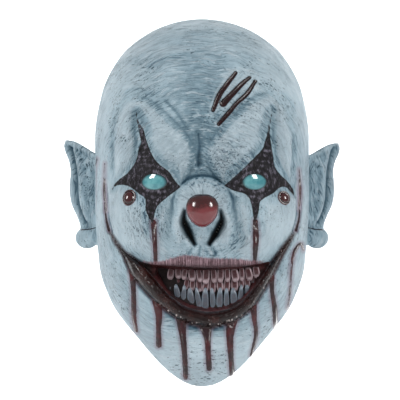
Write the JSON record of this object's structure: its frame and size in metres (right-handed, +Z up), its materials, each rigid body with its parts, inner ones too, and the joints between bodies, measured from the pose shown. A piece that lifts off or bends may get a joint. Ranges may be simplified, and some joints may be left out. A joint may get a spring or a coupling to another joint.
{
  "type": "full-head latex mask",
  "caption": "Full-head latex clown mask with flared pointed ears, domed eye lenses, tooth rows, a slit back with fold-out flaps, foam pads and an inner head strap.",
  "frame": {"origin": "the middle of the wearer's head, midway between the ears at the level just under the eyes", "axes": "+Z up to the crown, -Y the way the face looks, +X the wearer's left"},
  "size_m": [0.2434, 0.2487, 0.3096],
  "materials": {
    "latex_skin": "painted latex, satin",
    "raw_latex": "bare latex",
    "lens": "gloss, tinted",
    "red_gloss": "high gloss",
    "teeth": "gloss, stained",
    "gauze": "open weave",
    "foam": "open-cell foam",
    "webbing": "woven elastic",
    "rivet": "nickel",
    "black_plastic": "fine grain"
  },
  "bodies": {
    "head": {"head_skin": "latex_skin", "ear_left": "latex_skin", "ear_right": "latex_skin", "eye_lens_left": "lens", "eye_lens_right": "lens", "nose_tip": "red_gloss", "cheek_stud_left": "red_gloss", "cheek_stud_right": "red_gloss", "upper_teeth": "teeth", "lower_teeth": "teeth", "mouth_mesh": "gauze", "forehead_pad": "foam", "crown_pad": "foam", "cheek_pad_left": "foam", "cheek_pad_right": "foam", "chin_pad": "foam", "slit_patch": "webbing", "head_strap": "webbing", "strap_anchor_left": "raw_latex", "strap_anchor_right": "raw_latex", "strap_rivet_left": "rivet", "strap_rivet_right": "rivet"},
    "flap_left": {"back_flap_left": "latex_skin", "nape_pad_left": "foam"},
    "flap_right": {"back_flap_right": "latex_skin", "nape_pad_right": "foam"},
    "slider": {"strap_slider": "black_plastic"}
  },
  "joints": [
    {"name": "flap_left_fold", "type": "hinge", "parent": "head", "child": "flap_left", "pos_m": [0, 0.1159, 0.042], "axis": [0.3988, -0.109, -0.9105], "range_deg": [0, 35]},
    {"name": "flap_right_fold", "type": "hinge", "parent": "head", "child": "flap_right", "pos_m": [0, 0.1159, 0.042], "axis": [0.3988, 0.109, 0.9105], "range_deg": [0, 35]},
    {"name": "strap_slide", "type": "hinge", "parent": "head", "child": "slider", "pos_m": [0, 0.014, 0.016], "axis": [0, 0, 1], "range_deg": [-25, 25]}
  ],
  "couplings": [
    {"joint": "flap_right_fold", "follows": "flap_left_fold", "ratio": 1}
  ]
}
